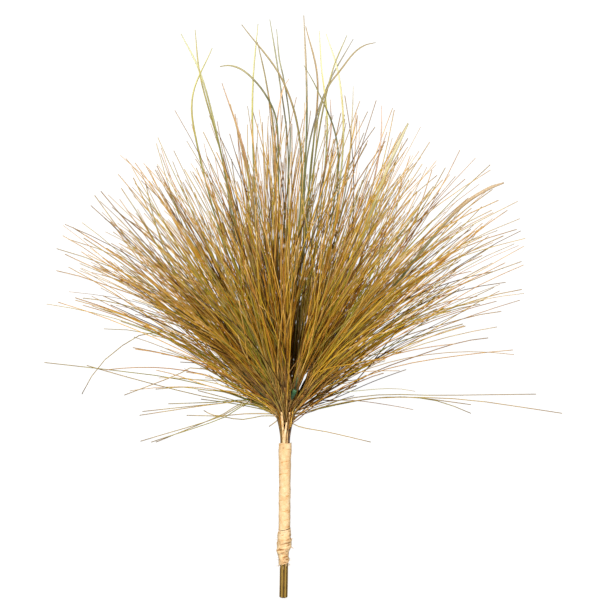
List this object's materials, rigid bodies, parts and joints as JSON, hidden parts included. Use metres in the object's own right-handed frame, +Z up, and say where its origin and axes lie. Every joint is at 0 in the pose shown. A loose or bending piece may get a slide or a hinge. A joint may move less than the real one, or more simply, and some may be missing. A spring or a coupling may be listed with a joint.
{
  "type": "bundle of ornamental grass",
  "caption": "Bundle of thin grass blades fanning out from a ribbed stem with a ribbon-wrapped handle, lying on its side for arranging in a vase or wreath.",
  "frame": {"origin": "middle of the bundle's footprint, on the surface that it lies on", "axes": "+Y from the cut end of the stem to the tips, +X to the right seen from above, +Z up"},
  "size_m": [0.539, 0.601, 0.2417],
  "materials": {
    "stem": "moulded stem covering, tan brown with darker grooves",
    "branch_stem": "thin moulded stems from pale tan to dark brown",
    "ribbon": "pale tan raffia ribbon, wrinkled, matt",
    "blade": "thin grass blades in ochre, gold, olive and brown",
    "leaf": "longer leaves from pale yellow to dark olive, slightly translucent"
  },
  "bodies": {
    "root": {"main_stem": "stem", "handle_wrap": "ribbon", "wrap_end": "ribbon", "branch_stem_1": "branch_stem", "branch_stem_2": "branch_stem", "branch_stem_3": "branch_stem", "branch_stem_4": "branch_stem", "branch_stem_5": "branch_stem", "branch_stem_6": "branch_stem", "branch_stem_7": "branch_stem", "tall_leaf_01": "leaf", "tall_leaf_02": "leaf", "tall_leaf_03": "leaf", "tall_leaf_04": "leaf", "tall_leaf_05": "leaf", "tall_leaf_06": "leaf", "tall_leaf_07": "leaf", "tall_leaf_08": "leaf", "tall_leaf_09": "leaf", "tall_leaf_10": "leaf", "tall_leaf_11": "leaf", "tall_leaf_12": "leaf", "tall_leaf_13": "leaf", "tall_leaf_14": "leaf", "broad_leaf_1": "leaf", "broad_leaf_2": "leaf", "drooping_blade_1": "blade", "drooping_blade_2": "blade", "drooping_blade_3": "blade", "drooping_blade_4": "blade", "tuft_01": "blade", "tuft_02": "blade", "tuft_03": "blade", "tuft_04": "blade", "tuft_05": "blade", "tuft_06": "blade", "tuft_07": "blade", "tuft_08": "blade", "tuft_09": "blade", "tuft_10": "blade", "tuft_11": "blade", "tuft_12": "blade", "tuft_13": "blade", "tuft_14": "blade", "tuft_15": "blade", "tuft_16": "blade", "tuft_17": "blade", "tuft_18": "blade", "tuft_19": "blade", "tuft_20": "blade", "tuft_21": "blade", "tuft_22": "blade", "tuft_23": "blade", "tuft_24": "blade", "tuft_25": "blade", "tuft_26": "blade", "tuft_27": "blade", "tuft_28": "blade", "tuft_29": "blade", "tuft_30": "blade"}
  },
  "joints": []
}
